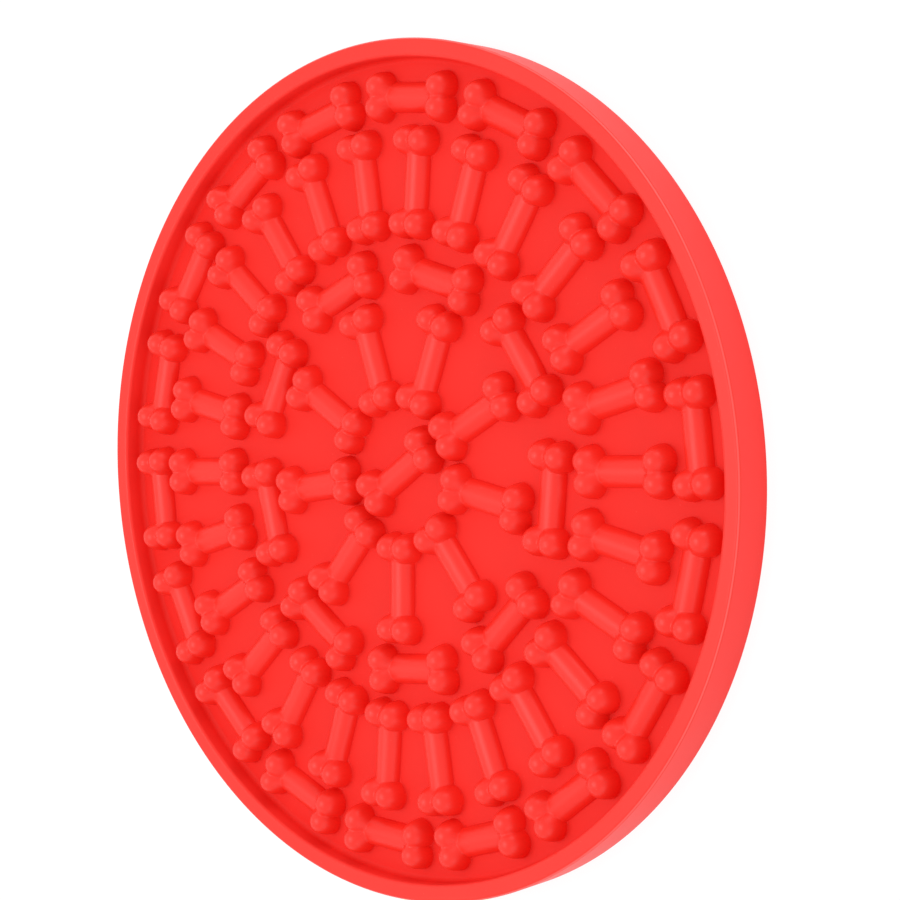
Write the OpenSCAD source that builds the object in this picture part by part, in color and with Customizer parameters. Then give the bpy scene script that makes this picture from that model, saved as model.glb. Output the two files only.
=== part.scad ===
// Round lick mat, moulded in one shot from soft silicone: a shallow dish with a raised rim,
// rings of bone-shaped ridges standing on the dish floor, and suction cups recessed underneath.
// Lengths are in millimetres. The mat lies flat on a table at z = 0, with its licking face up.

/* [Mat] */
// Diameter over the rim
mat_d = 200; // [199:1:240]
// Height from the table to the top of the rim
mat_h = 10.5; // [10:0.5:14]
// Depth of the dish, from the top of the rim to the floor
dish_depth = 5; // [4:0.1:6]
// Thickness of the dish floor
floor_t = 2; // [1.5:0.1:2.6]

/* [Rim] */
// Width of the rim, from the dish to the outer wall
rim_w = 4.2; // [3:0.1:4.6]
// Radius of the rim's rounded outer edge
edge_r = 0.7; // [0.3:0.1:1.2]
// Radius of the rim's rounded inner edge
lip_r = 0.4; // [0.2:0.1:0.8]
// Radius of the fillet between the inner wall and the floor
dish_fillet_r = 1.2; // [0.8:0.1:2.4]
// How much the outer wall draws in from the rim to the foot
wall_draft = 0.4; // [0:0.1:0.8]
// Thickness of the skirt below the floor
skirt_t = 3; // [2:0.1:4]
// Radius of the foot's rounded outer edge
foot_r = 0.5; // [0.2:0.1:0.8]

/* [Bones] */
// Length of a bone over its knobs
bone_l = 26.4; // [24:0.2:26.6]
// Diameter of a knob where it meets the floor
knob_d = 7.2; // [6.8:0.1:7.4]
// Height of a knob above the floor
knob_h = 5.9; // [5:0.1:6.3]
// Distance between the two knobs of an end, from axis to axis
knob_pitch = 4.8; // [4.4:0.1:5]
// Width of the shaft where it meets the floor
shaft_w = 7; // [6.4:0.1:7.4]
// Height of the shaft above the floor
shaft_h = 3.3; // [2.9:0.1:3.8]

/* [Rings of bones] */
// Gap between the inner wall and the outer ring's knobs
wall_gap = 2.6; // [1.5:0.1:3]
// Gap between the outer ring's knobs and the spokes
spoke_gap = 0.7; // [0.4:0.1:1.2]
// Gap between the spokes and the inner ring's knobs
inner_gap = 1; // [0.4:0.1:1.5]
// Gap between the inner ring's shafts and the hub spokes
hub_gap = 2; // [1.4:0.1:2.4]
// Spacing of the outer ring's bones, measured along the ring
outer_pitch = 30; // [28:0.2:34]
// Spacing of the spokes, measured at their inner knobs
spoke_pitch = 13.8; // [13:0.1:16]
// Spacing of the inner ring's bones, measured along the ring
inner_pitch = 31.5; // [31:0.1:34]
// Spacing of the hub spokes, measured at their inner knobs
hub_pitch = 12.1; // [12:0.1:14]

/* [Suction cups] */
// Diameter of a cup over its lip
cup_d = 25; // [18:0.5:28]
// Diameter of a cup's neck, where it joins the floor
neck_d = 11; // [8:0.5:14]
// Width of the flat ring on a cup's lip
lip_w = 0.9; // [0.6:0.1:1.4]
// Thickness of a cup's lip at its edge
lip_t = 0.8; // [0.5:0.1:1.2]
// Thickness left over the middle of a cup's hollow, up to the floor
cup_roof_t = 1.5; // [1:0.1:2]
// Distance between two neighbouring rings of cups
cup_ring_pitch = 36; // [30:0.5:40]

/* [Hidden] */
silicone_red = [0.98, 0.25, 0.22];
$fn = 96;
arc_steps = 7;
two_pi = 2 * PI;

mat_r = mat_d / 2;
dish_r = mat_r - rim_w;
floor_r = dish_r - dish_fillet_r;
floor_z = mat_h - dish_depth;
under_z = floor_z - floor_t;
foot_out_r = mat_r - wall_draft;
foot_in_r = foot_out_r - skirt_t;

// Place of a knob's axis on its bone, and its radius
knob_r = knob_d / 2;
knob_x = bone_l / 2 - knob_r;
knob_y = knob_pitch / 2;

// Radius at which bones lie, so that their outermost knobs reach this far from the centre
function tangent_ring_r(reach) = sqrt(pow(reach - knob_r, 2) - pow(knob_x, 2)) - knob_y;
function radial_ring_r(reach) = sqrt(pow(reach - knob_r, 2) - pow(knob_y, 2)) - knob_x;

// How near the centre the innermost knobs of a ring of radius r come
function tangent_inner_reach(r) = norm([r - knob_y, knob_x]) - knob_r;
function radial_inner_reach(r) = norm([r - knob_x, knob_y]) - knob_r;

// Radii of the rings' middles, from the wall inwards
outer_r = tangent_ring_r(dish_r - wall_gap);
spoke_r = radial_ring_r(tangent_inner_reach(outer_r) - spoke_gap);
inner_r = tangent_ring_r(radial_inner_reach(spoke_r) - inner_gap);
hub_r = radial_ring_r(inner_r - shaft_w / 2 - hub_gap);

// Whole bones that fit round each ring at its spacing
outer_n = floor(two_pi * outer_r / outer_pitch);
spoke_n = floor(two_pi * (spoke_r - knob_x) / spoke_pitch);
inner_n = floor(two_pi * inner_r / inner_pitch);
hub_n = floor(two_pi * (hub_r - knob_x) / hub_pitch);

// Direction of the first bone of each ring, in degrees from +X
outer_turn = 4.6;
spoke_turn = 0;
inner_turn = 32.5;
hub_turn = 27;
centre_turn = 32;

cup_r = cup_d / 2;
hollow_r = cup_r - lip_w;
hollow_h = under_z - cup_roof_t;
cups_near_n = 6;
cups_far_n = 12;

function numbered(name, i) = str(name, i < 10 ? "_0" : "_", i);
function numbered_all(name, n) = [for (i = [1:n]) numbered(name, i)];

// Points of an arc round [x, y], from one angle to another, both ends included
function arc(x, y, r, from, to) = [
    for (i = [0:arc_steps])
    let (a = from + (to - from) * i / arc_steps)
    [x + r * cos(a), y + r * sin(a)]
];

// Points of half an ellipse that stands on the floor, from its outer end over the top,
// where arc_steps of them make a quarter turn
function half_ellipse(half_w, h, steps) = [
    for (i = [0:steps])
    let (a = 90 * i / arc_steps)
    [half_w * cos(a), h * sin(a)]
];

// The flexible disc that carries the bones
module dish_floor() {
    color(silicone_red)
    translate([0, 0, under_z])
    cylinder(r = floor_r, h = floor_t);
}

// The rim, its fillet to the floor, and the skirt that stands on the table
module rim_wall() {
    color(silicone_red)
    rotate_extrude()
    polygon(concat(
        arc(floor_r, floor_z + dish_fillet_r, dish_fillet_r, -90, 0),
        arc(dish_r + lip_r, mat_h - lip_r, lip_r, 180, 90),
        arc(mat_r - edge_r, mat_h - edge_r, edge_r, 90, 0),
        arc(foot_out_r - foot_r, foot_r, foot_r, 0, -90),
        [[foot_in_r, 0], [foot_in_r, under_z], [floor_r, under_z]]
    ));
}

// One knob of a bone's end, a half egg that stands on the floor
module knob() {
    rotate_extrude()
    polygon(concat([[0, 0]], half_ellipse(knob_r, knob_h, arc_steps)));
}

// The round-backed ridge between the two ends, with its section drawn across Y
module shaft() {
    rotate([90, 0, 90])
    linear_extrude(height = 2 * knob_x, center = true)
    polygon(half_ellipse(shaft_w / 2, shaft_h, 2 * arc_steps));
}

// A whole bone lying along X, standing on the floor
module bone() {
    color(silicone_red)
    translate([0, 0, floor_z])
    union() {
        shaft();
        for (x = [-knob_x, knob_x], y = [-knob_y, knob_y])
            translate([x, y, 0])
            knob();
    }
}

// A bone across the ring's radius, the i-th of n
module tangent_bone(r, i, n) {
    rotate([0, 0, 360 * (i - 1) / n])
    translate([r, 0, 0])
    rotate([0, 0, 90])
    bone();
}

// A bone along the ring's radius, the i-th of n
module radial_bone(r, i, n) {
    rotate([0, 0, 360 * (i - 1) / n])
    translate([r, 0, 0])
    bone();
}

// A shallow suction cup, with its lip on the table, a domed hollow, and its neck under the floor
module suction_cup() {
    hollow_ball_r = (pow(hollow_r, 2) + pow(hollow_h, 2)) / (2 * hollow_h);
    hollow_edge_a = asin(1 - hollow_h / hollow_ball_r);
    color(silicone_red)
    rotate_extrude()
    polygon(concat(
        arc(0, hollow_h - hollow_ball_r, hollow_ball_r, 90, hollow_edge_a),
        [[cup_r, 0], [cup_r, lip_t], [neck_d / 2, under_z], [0, under_z]]
    ));
}

module cup_ring(r, n) {
    for (i = [1:n])
        rotate([0, 0, 360 * i / n])
        translate([r, 0, 0])
        suction_cup();
}

dish_floor();
rim_wall();
for (i = [1:outer_n])
    rotate([0, 0, outer_turn]) tangent_bone(outer_r, i, outer_n);
for (i = [1:spoke_n])
    rotate([0, 0, spoke_turn]) radial_bone(spoke_r, i, spoke_n);
for (i = [1:inner_n])
    rotate([0, 0, inner_turn]) tangent_bone(inner_r, i, inner_n);  // inner_ring_bones
for (i = [1:hub_n])
    rotate([0, 0, hub_turn]) radial_bone(hub_r, i, hub_n);
rotate([0, 0, centre_turn]) bone();  // centre_bone
suction_cup();  // centre_suction_cup
cup_ring(cup_ring_pitch, cups_near_n);  // near_suction_cups
cup_ring(2 * cup_ring_pitch, cups_far_n);  // far_suction_cups
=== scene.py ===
"""Round silicone lick mat: a shallow red dish, its floor set with rings of bone-shaped ridges.
Lengths are in metres, and the angles among the named values are in degrees."""

import math

import bpy
import numpy as np
from mathutils import Matrix, Vector


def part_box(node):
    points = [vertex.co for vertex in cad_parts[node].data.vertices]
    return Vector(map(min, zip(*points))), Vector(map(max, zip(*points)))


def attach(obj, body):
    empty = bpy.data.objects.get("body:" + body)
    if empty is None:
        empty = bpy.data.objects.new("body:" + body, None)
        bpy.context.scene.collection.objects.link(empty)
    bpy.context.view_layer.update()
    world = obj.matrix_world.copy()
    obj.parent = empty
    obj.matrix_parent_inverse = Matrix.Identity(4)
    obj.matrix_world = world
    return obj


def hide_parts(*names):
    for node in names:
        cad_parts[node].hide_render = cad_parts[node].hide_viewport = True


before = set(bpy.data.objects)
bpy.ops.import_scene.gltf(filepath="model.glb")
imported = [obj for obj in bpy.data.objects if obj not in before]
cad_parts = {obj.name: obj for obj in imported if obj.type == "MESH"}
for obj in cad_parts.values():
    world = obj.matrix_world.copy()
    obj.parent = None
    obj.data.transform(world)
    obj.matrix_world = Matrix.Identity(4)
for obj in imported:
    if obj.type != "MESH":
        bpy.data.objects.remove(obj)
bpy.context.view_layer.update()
MM = 0.001


# The camera looks at the mat from its +X side, well above the table, through a long lens, and is
# turned so that the mat's +Y points up in the picture. The middle of the mat's top is given in
# the camera's own directions.
CAMERA_DISTANCE = 0.5609
CAMERA_FOCAL = 96.6
CAMERA_SENSOR = 36.0
CAMERA_NEAR = 0.01
CAMERA_FAR = 20.0
CAMERA_TURN_Y = -43.22
CAMERA_TURN_X = 1.71
CAMERA_TURN_Z = 2.09
MAT_IN_VIEW = Vector((-0.01394, -0.00527, -CAMERA_DISTANCE))

rim_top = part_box("rim_wall")[1].z
into_view = (
    Matrix.Rotation(math.radians(CAMERA_TURN_Z), 3, "Z")
    @ Matrix.Rotation(math.radians(CAMERA_TURN_X), 3, "X")
    @ Matrix.Rotation(math.radians(CAMERA_TURN_Y), 3, "Y")
)
out_of_view = into_view.transposed()
camera_data = bpy.data.cameras.new("camera")
camera_data.sensor_width = CAMERA_SENSOR
camera_data.lens = CAMERA_FOCAL
camera_data.clip_start = CAMERA_NEAR
camera_data.clip_end = CAMERA_FAR
camera = bpy.data.objects.new("camera", camera_data)
bpy.context.scene.collection.objects.link(camera)
camera.location = Vector((0, 0, rim_top)) - out_of_view @ MAT_IN_VIEW
camera.rotation_mode = "QUATERNION"
camera.rotation_quaternion = out_of_view.to_quaternion()
bpy.context.scene.camera = camera


# The dish floor is a thin flexible disc in the middle of the moulding, which is one shot of red
# food-grade silicone. The mould is bead-blasted, and harder here than on the ridges, so the floor
# is duller. Such a skin always picks up a few specks of dust.
FLOOR_RINGS = 40
TURN_STEPS = 360
DISH_RED = (0.87, 0.027, 0.019)
DISH_LOOK = {"roughness": 0.56, "grain_depth": 0.016 * MM, "specular": 0.2}
DUST_PINK = (0.96, 0.10, 0.08)
DUST_SCALE = 300.0
DUST_CORE = 0.02
DUST_EDGE = 0.06
DUST_STRENGTH = 0.4
DRIFT_SHARES = (0.95, 0.8, 0.8)
CLOUD_SCALE = 55.0
CLOUD_DETAIL = 3
ROUGHNESS_DRIFT = 0.05
GRAIN_SCALE = 2600.0
GRAIN_DETAIL = 2
GRAIN_STRENGTH = 0.25
SILICONE_IOR = 1.43


def give(paint, node, inputs):
    """Gives each named input of a paint's node a plain value or another node's output."""
    for name, source in inputs.items():
        if isinstance(source, bpy.types.NodeSocket):
            paint.node_tree.links.new(source, node.inputs[name])
        else:
            node.inputs[name].default_value = source


def add_node(paint, kind, inputs, **options):
    """Adds a shader node to a paint (a material or the world), with its options and inputs set."""
    node = paint.node_tree.nodes.new("ShaderNode" + kind)
    for option, value in options.items():
        setattr(node, option, value)
    give(paint, node, inputs)
    return node


def silicone(name, red, roughness, grain_depth, specular=0.5):
    """Silicone skin: the base colour drifts between a red and a slightly deeper one on a soft
    noise, sparse fine specks are paler, roughness follows the same soft noise, and a very fine
    noise roughens the normal."""
    made = bpy.data.materials.new(name)
    made.use_nodes = True
    place = add_node(made, "TexCoord", {}).outputs["Object"]
    cloud = add_node(
        made, "TexNoise", {"Vector": place, "Scale": CLOUD_SCALE, "Detail": CLOUD_DETAIL}
    ).outputs["Fac"]
    deep_red = [part * share for part, share in zip(red, DRIFT_SHARES)]
    reds = add_node(
        made, "Mix", {"Factor": cloud, "A": (*deep_red, 1), "B": (*red, 1)},
        data_type="RGBA", name="reds",
    )
    dust = add_node(made, "TexVoronoi", {"Vector": place, "Scale": DUST_SCALE})
    speck = add_node(made, "MapRange", {
        "Value": dust.outputs["Distance"],
        "From Min": DUST_CORE, "From Max": DUST_EDGE, "To Min": DUST_STRENGTH, "To Max": 0.0,
    })
    dusted = add_node(made, "Mix", {
        "Factor": speck.outputs["Result"], "A": reds.outputs["Result"], "B": (*DUST_PINK, 1),
    }, data_type="RGBA")
    sheen = add_node(made, "MapRange", {
        "Value": cloud,
        "To Min": roughness - ROUGHNESS_DRIFT, "To Max": roughness + ROUGHNESS_DRIFT,
    })
    grain = add_node(
        made, "TexNoise", {"Vector": place, "Scale": GRAIN_SCALE, "Detail": GRAIN_DETAIL}
    )
    relief = add_node(made, "Bump", {
        "Height": grain.outputs["Fac"], "Strength": GRAIN_STRENGTH, "Distance": grain_depth,
    })
    give(made, made.node_tree.nodes["Principled BSDF"], {
        "Base Color": dusted.outputs["Result"],
        "Roughness": sheen.outputs["Result"],
        "Normal": relief.outputs["Normal"],
        "IOR": SILICONE_IOR,
        "Specular IOR Level": specular,
    })
    return made


def quads_between(number):
    """Quads of a grid of point numbers, each of a number, the next one in its column, the one
    beside that, and the next one in its own row."""
    corners = [number[:-1, :-1], number[1:, :-1], number[1:, 1:], number[:-1, 1:]]
    return np.stack(corners, -1).reshape(-1, 4)


def revolved(profile, steps, closed):
    """A profile of (radius, height) turned round the Z axis: point (i, j) is profile point j
    turned by i steps, so its x and y are its radius times the cosine and sine of their angle. The
    profile runs out along its underside and back over the top, so that the faces point outwards.
    A closed one makes a ring. An open one starts and ends near the axis, where two caps close it.
    Returns points, quads and caps."""
    turn = np.arange(steps) * (2 * math.pi / steps)
    radius, height = profile[:, 0], profile[:, 1]
    x, y = np.outer(np.cos(turn), radius), np.outer(np.sin(turn), radius)
    points = np.stack([x, y, np.broadcast_to(height, x.shape)], -1).reshape(-1, 3)
    number = np.arange(len(points)).reshape(x.shape)
    quads = quads_between(np.pad(number, ((0, 1), (0, int(closed))), mode="wrap"))
    caps = [] if closed else [number[::-1, 0].tolist(), number[:, -1].tolist()]
    return points, quads, caps


def add_piece(name, points, quads, caps, finish, *nodes):
    """Puts arrays of points in metres and of quads into a smooth mesh, with a few larger faces
    after them, and lets it stand for the named nodes of the frame."""
    mesh = bpy.data.meshes.new(name)
    mesh.from_pydata(points.tolist(), [], quads.tolist() + caps)
    mesh.shade_smooth()
    mesh.materials.append(finish)
    piece = bpy.data.objects.new(name, mesh)
    bpy.context.scene.collection.objects.link(piece)
    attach(piece, "root")
    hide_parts(*nodes)
    return piece


DULL = silicone("dull_silicone", DISH_RED, **DISH_LOOK)

floor_low, floor_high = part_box("dish_floor")
floor_z = floor_high.z
under_z = floor_low.z
floor_radius = floor_high.x
ring_radii = np.linspace(floor_radius / FLOOR_RINGS, floor_radius, FLOOR_RINGS)
floor_profile = np.concatenate([
    np.stack([ring_radii, np.full(FLOOR_RINGS, under_z)], 1),
    np.stack([ring_radii[::-1], np.full(FLOOR_RINGS, floor_z)], 1),
])
dish_floor = add_piece(
    "dish_floor_skin", *revolved(floor_profile, TURN_STEPS, closed=False), DULL, "dish_floor"
)
dish_floor.data.shade_flat()


# The rim is a plain band with softly rounded edges. Its inner wall is painted paler towards the
# top, as painted light. A fine pale band along the outer edge is a painted highlight, and the
# outer wall's red is a little brighter than the rim top's, as painted light. The outer wall draws
# in towards the foot, and the skirt below the floor hides the suction cups.
RIM_WIDTH = 4.2 * MM
OUTER_EDGE_RADIUS = 0.7 * MM
INNER_EDGE_RADIUS = 0.8 * MM
WALL_DRAFT = 0.4 * MM
SKIRT_THICKNESS = 3.0 * MM
FOOT_RADIUS = 0.5 * MM
FOOT_INNER_RADIUS = 0.4 * MM
SKIRT_ROOT_RADIUS = 1.2 * MM
FILLET_START = -89.0
FILLET_STEPS = 12
INNER_EDGE_STEPS = 7
OUTER_EDGE_STEPS = 10
FOOT_STEPS = 8
FOOT_INNER_STEPS = 7
SKIRT_ROOT_STEPS = 8
EDGE_TIE = 0.12 * MM
SHORTEST_TIED = 4 * EDGE_TIE
SAME_PLACE = 0.001 * MM
# The inner wall's painted light reaches over this share of the inner edge's width.
LIT_EDGE_SHARE = 0.25
# Angles round the outer edge's arc between which the painted highlight lies.
HIGHLIGHT_FROM = 30.0
HIGHLIGHT_TO = 62.0
SILICONE_RED = (0.91, 0.026, 0.015)
# The outer wall's red is brighter than the rim top's: painted light on the wall.
LIT_WALL_RED = (0.95, 0.026, 0.019)
# A paler red along the outer edge: a painted highlight.
HIGHLIGHT_PALE = (0.97, 0.095, 0.085)
# A paler red towards the top of the inner wall: painted light.
INNER_LIGHT_RED = (0.96, 0.052, 0.042)

SATIN = silicone(
    "satin_silicone", SILICONE_RED, roughness=0.38, grain_depth=0.012 * MM, specular=0.45
)
# Finish of the outer wall and skirt, whose brighter red is painted light.
WALL = silicone("wall_silicone", LIT_WALL_RED, roughness=0.44, grain_depth=0.012 * MM, specular=0.4)
EDGE_HIGHLIGHT = silicone("edge_highlight_silicone", HIGHLIGHT_PALE, roughness=0.32, grain_depth=0.004 * MM)
INNER_WALL_LIT = silicone("inner_wall_lit_silicone", DISH_RED, **DISH_LOOK)


def add_painted_light(made, start, end):
    """Painted light on the upper part of the inner wall: one of the two reds that the base colour
    drifts between goes over to a paler one, evenly with height, between two heights."""
    place = add_node(made, "TexCoord", {}).outputs["Object"]
    height = add_node(made, "SeparateXYZ", {"Vector": place}).outputs["Z"]
    climb = add_node(made, "MapRange", {"Value": height, "From Min": start, "From Max": end})
    lightened = add_node(made, "Mix", {
        "Factor": climb.outputs["Result"], "A": (*DISH_RED, 1), "B": (*INNER_LIGHT_RED, 1),
    }, data_type="RGBA")
    give(made, made.node_tree.nodes["reds"], {"B": lightened.outputs["Result"]})


def arc(x, z, radius, start, end, steps):
    """Points of an arc round (x, z) between two angles in degrees: centre plus radius times the
    cosine and sine of evenly spaced angles."""
    angle = np.radians(np.linspace(start, end, steps))
    return np.stack([x + radius * np.cos(angle), z + radius * np.sin(angle)], 1)


def with_ties(profile):
    """A closed profile with a point set close in from each end of every long straight side, so
    that the shading of a rounded corner doesn't spread over the flat beside it."""
    points = []
    for here, there in zip(profile, np.roll(profile, -1, axis=0)):
        points.append(here)
        length = math.hypot(*(there - here))
        if length > SHORTEST_TIED:
            step = (there - here) * EDGE_TIE / length
            points += [here + step, there - step]
    return np.array(points)


mat_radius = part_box("rim_wall")[1].x
dish_radius = mat_radius - RIM_WIDTH
fillet_radius = dish_radius - floor_radius
foot_outer = mat_radius - WALL_DRAFT
foot_inner = foot_outer - SKIRT_THICKNESS
inner_edge_x, inner_edge_z = dish_radius + INNER_EDGE_RADIUS, rim_top - INNER_EDGE_RADIUS
outer_edge_x, outer_edge_z = mat_radius - OUTER_EDGE_RADIUS, rim_top - OUTER_EDGE_RADIUS
foot_inner_x = foot_inner + FOOT_INNER_RADIUS
skirt_root_x, skirt_root_z = foot_inner - SKIRT_ROOT_RADIUS, under_z - SKIRT_ROOT_RADIUS
# The inner wall's red is painted paler towards its top, as painted light.
add_painted_light(INNER_WALL_LIT, floor_z, inner_edge_z)

# The fillet's first facet is a single degree, so that the wall's shading starts level with the
# floor's.
over_the_top = np.concatenate([
    [[floor_radius, floor_z]],
    arc(floor_radius, floor_z + fillet_radius, fillet_radius, FILLET_START, 0, FILLET_STEPS),
    arc(inner_edge_x, inner_edge_z, INNER_EDGE_RADIUS, 180, 90, INNER_EDGE_STEPS),
    arc(outer_edge_x, outer_edge_z, OUTER_EDGE_RADIUS, 90, 0, OUTER_EDGE_STEPS),
    arc(foot_outer - FOOT_RADIUS, FOOT_RADIUS, FOOT_RADIUS, 0, -90, FOOT_STEPS),
    arc(foot_inner_x, FOOT_INNER_RADIUS, FOOT_INNER_RADIUS, -90, -180, FOOT_INNER_STEPS),
    arc(skirt_root_x, skirt_root_z, SKIRT_ROOT_RADIUS, 0, 90, SKIRT_ROOT_STEPS),
    [[floor_radius, under_z]],
])
rim_profile = with_ties(over_the_top[::-1])
rim = add_piece(
    "rim_and_skirt", *revolved(rim_profile, TURN_STEPS, closed=True), SATIN, "rim_wall"
)
for finish in (INNER_WALL_LIT, WALL, EDGE_HIGHLIGHT):
    rim.data.materials.append(finish)
SATIN_SLOT, INNER_LIT_SLOT, WALL_SLOT, HIGHLIGHT_SLOT = range(4)

# Each side of the profile makes one band round the rim, whose finish goes by where the side's
# middle is.
side_x, side_z = ((rim_profile + np.roll(rim_profile, -1, axis=0)) / 2).T
edge_turn = np.degrees(np.arctan2(side_z - outer_edge_z, side_x - outer_edge_x))
on_edge = (side_x > outer_edge_x) & (side_z > outer_edge_z)
# Faces of the outer edge between two angles take the painted highlight.
on_highlight = on_edge & (edge_turn > HIGHLIGHT_FROM) & (edge_turn < HIGHLIGHT_TO)
in_dish = (side_x < dish_radius + LIT_EDGE_SHARE * INNER_EDGE_RADIUS) & (side_z > under_z)
slot_of_side = np.select(
    [on_highlight, on_edge, in_dish, side_z < inner_edge_z],
    [HIGHLIGHT_SLOT, SATIN_SLOT, INNER_LIT_SLOT, WALL_SLOT],
    SATIN_SLOT,
)
against_floor = np.isclose(side_x, floor_radius, rtol=0, atol=SAME_PLACE)
rim.data.polygons.foreach_set("material_index", np.tile(slot_of_side, TURN_STEPS))
rim.data.polygons.foreach_set("use_smooth", np.tile(~against_floor, TURN_STEPS))


# The bones are ridges of the same silicone: two half eggs at each end of a lower round-backed
# shaft, cut into the mould by hand-blended passes, so that all their creases are soft. They lie
# round the rim, and point at the centre in two rings further in.
BONE_LENGTH = 26.4 * MM
KNOB_DIAMETER = 7.2 * MM
KNOB_HEIGHT = 5.9 * MM
KNOB_PITCH = 4.8 * MM
KNOB_FULLNESS = 2.25
SHAFT_WIDTH = 7.0 * MM
SHAFT_HEIGHT = 3.3 * MM
SHAFT_END_SLOPE = 6.0
LOBE_SOFTNESS = 1.2 * MM
NECK_SOFTNESS = 2.0 * MM
ROOT_SOFTNESS = 0.6 * MM
ROOT_REACH = 0.22 * MM
ROOT_DIP = 0.004 * MM
DULL_ROOT = 0.5 * MM
BONE_SINK = 0.4 * MM
BURIED_DEPTH = 0.1 * MM
SHAFT_STATIONS = 8
LOBE_STATIONS = 20
LOBE_ROWS = 12
NOTCH_ROWS = 8
ROOT_ROWS = 7
NARROWEST_NOTCH = 0.12 * MM
TIP_WIDTH = 0.25 * MM

knob_radius = KNOB_DIAMETER / 2
knob_u = BONE_LENGTH / 2 - knob_radius
knob_v = KNOB_PITCH / 2


def blended(a, b, softness):
    """The higher of two heights, with the crease between them rounded: where they differ by less
    than the softness, a quarter of the softness times the squared closeness is added."""
    closeness = np.clip(1 - np.abs(a - b) / softness, 0, 1)
    return np.maximum(a, b) + softness / 4 * closeness**2


def half_egg(away, half_width, height, fullness=2.0):
    """Height over the floor at a distance from the middle line: half an ellipse, or a fuller curve
    where the power is over 2, and past its foot a drop below the floor that grows as the square
    root of the distance. Where that is blended with the floor it becomes the fillet at the root."""
    inside = height * np.clip(1 - (away / half_width) ** fullness, 0, None) ** (1 / fullness)
    return inside - ROOT_SOFTNESS * np.sqrt(np.clip(away - half_width, 0, None) / ROOT_REACH)


def knob(u, v, at_u, at_v):
    """Height of one knob: a half egg round its own axis."""
    return half_egg(np.hypot(u - at_u, v - at_v), knob_radius, KNOB_HEIGHT, KNOB_FULLNESS)


def shaft(u, v):
    """Height of the shaft: half an ellipse across v, cut off steeply inside the knobs."""
    past_end = np.clip(np.abs(u) - knob_u, 0, None)
    return half_egg(np.abs(v), SHAFT_WIDTH / 2, SHAFT_HEIGHT) - SHAFT_END_SLOPE * past_end


def bone_height(u, v):
    """Height of the bone over its own floor at (u, v): the four knobs and the shaft blended
    together, then blended with the floor for the fillet at the root, less a hair's dip."""
    near_pair = blended(knob(u, v, -knob_u, -knob_v), knob(u, v, -knob_u, knob_v), LOBE_SOFTNESS)
    far_pair = blended(knob(u, v, knob_u, -knob_v), knob(u, v, knob_u, knob_v), LOBE_SOFTNESS)
    ridge = blended(np.maximum(near_pair, far_pair), shaft(u, v), NECK_SOFTNESS)
    return blended(ridge, np.zeros_like(ridge), ROOT_SOFTNESS) - ROOT_DIP


def sines(start, end, steps):
    """Sines of evenly spaced angles between two in degrees, which crowd together towards 90."""
    return np.sin(np.radians(np.linspace(start, end, steps)))


def bone_grid():
    """The grid that a bone is worked out on, lined up with its foot, where its sides stand
    upright. Stations along u, and rows across v from a knob's axis out to its foot and in to the
    notch between the knobs, go by the sine of even angles. Past the foot both go by even steps
    squared."""
    past_foot = ROOT_REACH * np.linspace(0, 1, ROOT_ROWS)[1:] ** 2
    to_foot = knob_radius * sines(0, 90, LOBE_STATIONS)
    half = np.concatenate([
        np.linspace(0, knob_u - knob_radius, SHAFT_STATIONS),
        knob_u - to_foot[-2::-1],
        knob_u + to_foot[1:],
        knob_u + knob_radius + past_foot,
    ])
    stations = np.concatenate([-half[:0:-1], half])[:, None]
    beside = np.abs(np.abs(stations) - knob_u)
    on_shaft_side = np.abs(stations) < knob_u
    shaft_half = SHAFT_WIDTH / 2
    foot = np.sqrt(np.clip(knob_radius**2 - beside**2, 0, None) + TIP_WIDTH**2)
    outer_foot = np.where(on_shaft_side, np.maximum(foot, shaft_half - knob_v), foot)
    inner_foot = np.where(on_shaft_side, knob_v, foot)
    notch = np.clip(knob_v - inner_foot, NARROWEST_NOTCH, None)

    notch_rows = notch * np.linspace(0, 1, NOTCH_ROWS // 2 + 1)[:-1]
    inner_rows = knob_v - (knob_v - notch) * sines(90, 0, NOTCH_ROWS)
    outer_rows = knob_v + outer_foot * sines(0, 90, LOBE_ROWS)[1:]
    root = np.clip((knob_radius + past_foot) ** 2 - beside**2, 0, None)
    knob_root = knob_v + np.sqrt(root + TIP_WIDTH**2 * np.arange(2, ROOT_ROWS + 1))
    shaft_root = np.where(on_shaft_side, shaft_half, 0) + past_foot
    root_rows = np.maximum(knob_root, shaft_root)
    v = np.concatenate([notch_rows, inner_rows, outer_rows, root_rows], 1)
    v = np.concatenate([-v[:, :0:-1], v], 1)
    return np.broadcast_to(stations, v.shape), v


def bone_mesh():
    """One bone along u in the middle of the dish. Its section at each station is the grid's row at
    the bone's height, with a point below each end of the row, a little way down in the floor.
    Returns points, quads and the two end faces."""
    u, v = bone_grid()
    ridge = np.stack([u, v, floor_z + bone_height(u, v)], -1)
    sunk = ridge[:, [0, -1]]
    sunk[..., 2] = floor_z - BONE_SINK
    sections = np.concatenate([sunk[:, :1], ridge, sunk[:, 1:]], 1)
    points = sections.reshape(-1, 3)
    number = np.arange(len(points)).reshape(sections.shape[:2])
    quads = quads_between(np.pad(number, ((0, 0), (0, 1)), mode="wrap"))
    return points, quads, [number[0].tolist(), number[-1, ::-1].tolist()]


def copies(places, points, quads, caps):
    """A mesh repeated at each (x, y, turn): its points are turned about Z by the angle in radians,
    then moved, and the faces of each copy count on from the points of those before it."""
    moved, all_quads, all_caps = [], [], []
    for copy, (x, y, turn) in enumerate(places):
        c, s = math.cos(turn), math.sin(turn)
        start = copy * len(points)
        moved.append(points @ np.array([[c, s, 0], [-s, c, 0], [0, 0, 1]]) + (x, y, 0))
        all_quads.append(quads + start)
        all_caps += [[start + point for point in cap] for cap in caps]
    return np.concatenate(moved), np.concatenate(all_quads), all_caps


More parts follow.
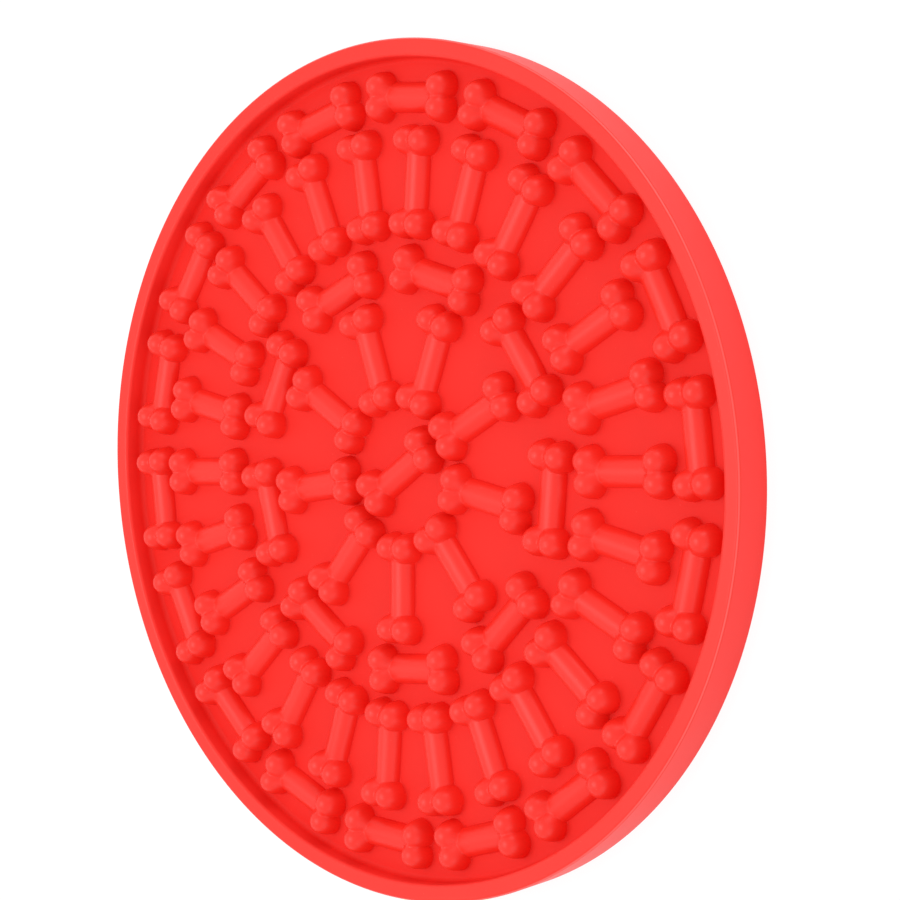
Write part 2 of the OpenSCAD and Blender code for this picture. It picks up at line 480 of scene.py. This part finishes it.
def add_bones(name, places, *nodes):
    """One piece that holds a bone at each (x, y, turn). It is as dull as the floor round its root,
    and its faces below the floor are left flat, so that they don't bend the shading there."""
    piece = add_piece(name, *copies(places, *BONE), SATIN, *nodes)
    faces = piece.data.polygons
    centres = np.empty(len(faces) * 3)
    faces.foreach_get("center", centres)
    over_floor = centres[2::3] - floor_z
    faces.foreach_set("use_smooth", over_floor > -BURIED_DEPTH)
    piece.data.materials.append(DULL)
    faces.foreach_set("material_index", (over_floor < DULL_ROOT).astype(np.int32))


def bone_at(node, quarter_turns):
    """Place of the bone that a node holds: the middle of its box, lying along the ring's radius
    or, with one quarter turn, across it."""
    low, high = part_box(node)
    x, y = (low.x + high.x) / 2, (low.y + high.y) / 2
    return x, y, math.atan2(y, x) + quarter_turns * math.pi / 2


BONE = bone_mesh()
cad_nodes = sorted(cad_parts)
for node in [n for n in cad_nodes if n.startswith("outer_bone")]:
    add_bones(node.replace("bone", "ridge"), [bone_at(node, 1)], node)
for node in [n for n in cad_nodes if n.startswith(("spoke_bone", "hub_bone"))]:
    add_bones(node.replace("bone", "ridge"), [bone_at(node, 0)], node)


# Nine more bones of the same silicone lie across the radius, between the two rings that point at
# the centre, and one lies in the very middle. The nine are one node, so their ring's radius is
# worked out from how far the node's points reach from the centre.
INNER_RING_COUNT = 9
INNER_RING_TURN = 32.5
CENTRE_TURN = 32.0


def ring_places(radius, count, first_angle=0.0, own_turn=0.0):
    """Evenly spaced (x, y, turn) on a ring: the radius times the cosine and sine of the angle, and
    the angle plus each copy's own turn."""
    angles = first_angle + np.arange(count) * (2 * math.pi / count)
    return [(radius * math.cos(a), radius * math.sin(a), a + own_turn) for a in angles]


inner_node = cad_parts["inner_ring_bones"].data
inner_xyz = np.empty(len(inner_node.vertices) * 3)
inner_node.vertices.foreach_get("co", inner_xyz)
# An outer knob's axis is as far from the centre as the corner of a rectangle whose sides are
# knob_u and the ring's radius plus knob_v.
knob_reach = np.hypot(inner_xyz[0::3], inner_xyz[1::3]).max() - knob_radius
inner_radius = math.sqrt(knob_reach**2 - knob_u**2) - knob_v
inner_places = ring_places(
    inner_radius, INNER_RING_COUNT, math.radians(INNER_RING_TURN), own_turn=math.pi / 2
)
add_bones("inner_ring_ridges", inner_places, "inner_ring_bones")
add_bones("centre_ridge", [(0.0, 0.0, math.radians(CENTRE_TURN))], "centre_bone")


# Suction cups under the floor, out of sight inside the skirt. They are moulded with the mat, and
# their hollows come out of polished steel, so they are smoother than the rest.
CUP_DIAMETER = 25.0 * MM
CUP_NECK_DIAMETER = 11.0 * MM
CUP_LIP_WIDTH = 0.9 * MM
CUP_LIP_THICKNESS = 0.8 * MM
CUP_LIP_CHAMFER = 0.1 * MM
CUP_HOLLOW = 2.0 * MM
CUP_CAP_SHARE = 1 / 60
CUP_FILLET_WIDTH = 0.6 * MM
CUP_FILLET_DROP = 0.35 * MM
CUP_FILLET_MIDDLE = 0.1 * MM
CUP_NECK_SINK = 0.2 * MM
CUP_RING_PITCH = 36.0 * MM
NEAR_CUPS = 6
FAR_CUPS = 12
CUP_STEPS = 96
CUP_HOLLOW_STEPS = 16

POLISHED = silicone("polished_silicone", SILICONE_RED, roughness=0.28, grain_depth=0.004 * MM)


def cup_profile():
    """Half section of a cup from the top of its hollow out to its lip and back to its neck: a
    ball's cap inside, whose radius is the sum of the squares of the hollow's radius and height
    over twice the height, a flat lip ring, a cone up to the neck, and a fillet at the floor."""
    cup = CUP_DIAMETER / 2
    hollow_radius = cup - CUP_LIP_WIDTH
    ball = (hollow_radius**2 + CUP_HOLLOW**2) / (2 * CUP_HOLLOW)
    edge_angle = math.degrees(math.asin(1 - CUP_HOLLOW / ball))
    hollow = arc(0, CUP_HOLLOW - ball, ball, 90, edge_angle, CUP_HOLLOW_STEPS)
    hollow[0, 0] = CUP_CAP_SHARE * hollow_radius
    neck = CUP_NECK_DIAMETER / 2
    neck_top = under_z + CUP_NECK_SINK
    return np.concatenate([
        hollow,
        [[cup - CUP_LIP_CHAMFER, 0], [cup, CUP_LIP_CHAMFER], [cup, CUP_LIP_THICKNESS]],
        [[neck + CUP_FILLET_WIDTH, under_z - CUP_FILLET_DROP]],
        [[neck + CUP_FILLET_MIDDLE, under_z - CUP_FILLET_MIDDLE]],
        [[neck, neck_top], [CUP_CAP_SHARE * hollow_radius, neck_top]],
    ])


def add_cups(name, radius, count, node):
    """A ring of cups, each the same profile turned about its own axis."""
    cup = revolved(cup_profile(), CUP_STEPS, closed=False)
    add_piece(name, *copies(ring_places(radius, count), *cup), POLISHED, node)


add_cups("centre_cup", 0.0, 1, "centre_suction_cup")
add_cups("near_cups", CUP_RING_PITCH, NEAR_CUPS, "near_suction_cups")
add_cups("far_cups", 2 * CUP_RING_PITCH, FAR_CUPS, "far_suction_cups")


# A plain white table in a white room, with one large soft lamp overhead, a little to the left, and
# two weak low ones that light the outer wall. Each has a place, a width and a power in watts. What
# the camera sees of the table and the room is lifted to white.
WHITE = (1, 1, 1, 1)
TABLE_WHITE = (0.93, 0.93, 0.93, 1)
TABLE_ROUGHNESS = 0.9
TABLE_HALF = 3.0
TABLE_LIFT = 0.9
TABLE_SHADOW = (0.14, 0.14, 0.14, 1)
ROOM_STRENGTH = 0.87
LAMPS = {
    "soft_lamp": (Vector((-0.24, 0.0, 1.0)), 0.6, 3.2),
    "side_lamp": (Vector((0.75, -0.6, 0.3)), 0.8, 1.2),
    "back_lamp": (Vector((0.45, 0.9, 0.2)), 0.5, 1.6),
}


def seen_directly(paint):
    """One where a ray comes from the camera, or by a mirror or through glass, and nothing on the
    rays that light the mat: the greatest of the three kinds' marks."""
    path = add_node(paint, "LightPath", {}).outputs
    mirrored = add_node(
        paint, "Math", {0: path["Is Glossy Ray"], 1: path["Is Transmission Ray"]},
        operation="MAXIMUM",
    )
    seen = add_node(
        paint, "Math", {0: path["Is Camera Ray"], 1: mirrored.outputs["Value"]},
        operation="MAXIMUM",
    )
    return seen.outputs["Value"]


def show_by_ray(paint, lighting, shown, end_node):
    """Ends a paint with one shader for the rays that light the mat and another for the rays that
    see the paint directly."""
    choice = add_node(paint, "MixShader", {"Fac": seen_directly(paint), 1: lighting, 2: shown})
    end = paint.node_tree.nodes[end_node]
    give(paint, end, {"Surface": choice.outputs["Shader"]})


table_paint = bpy.data.materials.new("table_paint")
table_paint.use_nodes = True
plain = table_paint.node_tree.nodes["Principled BSDF"]
give(table_paint, plain, {"Base Color": TABLE_WHITE, "Roughness": TABLE_ROUGHNESS})
lift = add_node(table_paint, "Emission", {"Color": WHITE, "Strength": TABLE_LIFT})
shadow = add_node(table_paint, "BsdfDiffuse", {"Color": TABLE_SHADOW})
lifted = add_node(
    table_paint, "AddShader", {0: lift.outputs["Emission"], 1: shadow.outputs["BSDF"]}
)
show_by_ray(table_paint, plain.outputs["BSDF"], lifted.outputs["Shader"], "Material Output")

corner_signs = np.array([(-1, -1, 0), (1, -1, 0), (1, 1, 0), (-1, 1, 0)])
table_mesh = bpy.data.meshes.new("table")
table_mesh.from_pydata((TABLE_HALF * corner_signs).tolist(), [], [(0, 1, 2, 3)])
table_mesh.materials.append(table_paint)
table = bpy.data.objects.new("table", table_mesh)
bpy.context.scene.collection.objects.link(table)

world = bpy.data.worlds.new("white_room")
bpy.context.scene.world = world
world.use_nodes = True
room = world.node_tree.nodes["Background"]
give(world, room, {"Color": WHITE, "Strength": ROOM_STRENGTH})
backdrop = add_node(world, "Background", {"Color": WHITE, "Strength": 1.0})
show_by_ray(
    world, room.outputs["Background"], backdrop.outputs["Background"], "World Output"
)

for name, (place, size, power) in LAMPS.items():
    lamp_data = bpy.data.lights.new(name, "AREA")
    lamp_data.size = size
    lamp_data.energy = power
    lamp = bpy.data.objects.new(name, lamp_data)
    bpy.context.scene.collection.objects.link(lamp)
    lamp.location = place
    lamp.rotation_mode = "QUATERNION"
    lamp.rotation_quaternion = (-place).to_track_quat("-Z", "Y")

bpy.context.scene.view_settings.view_transform = "Standard"
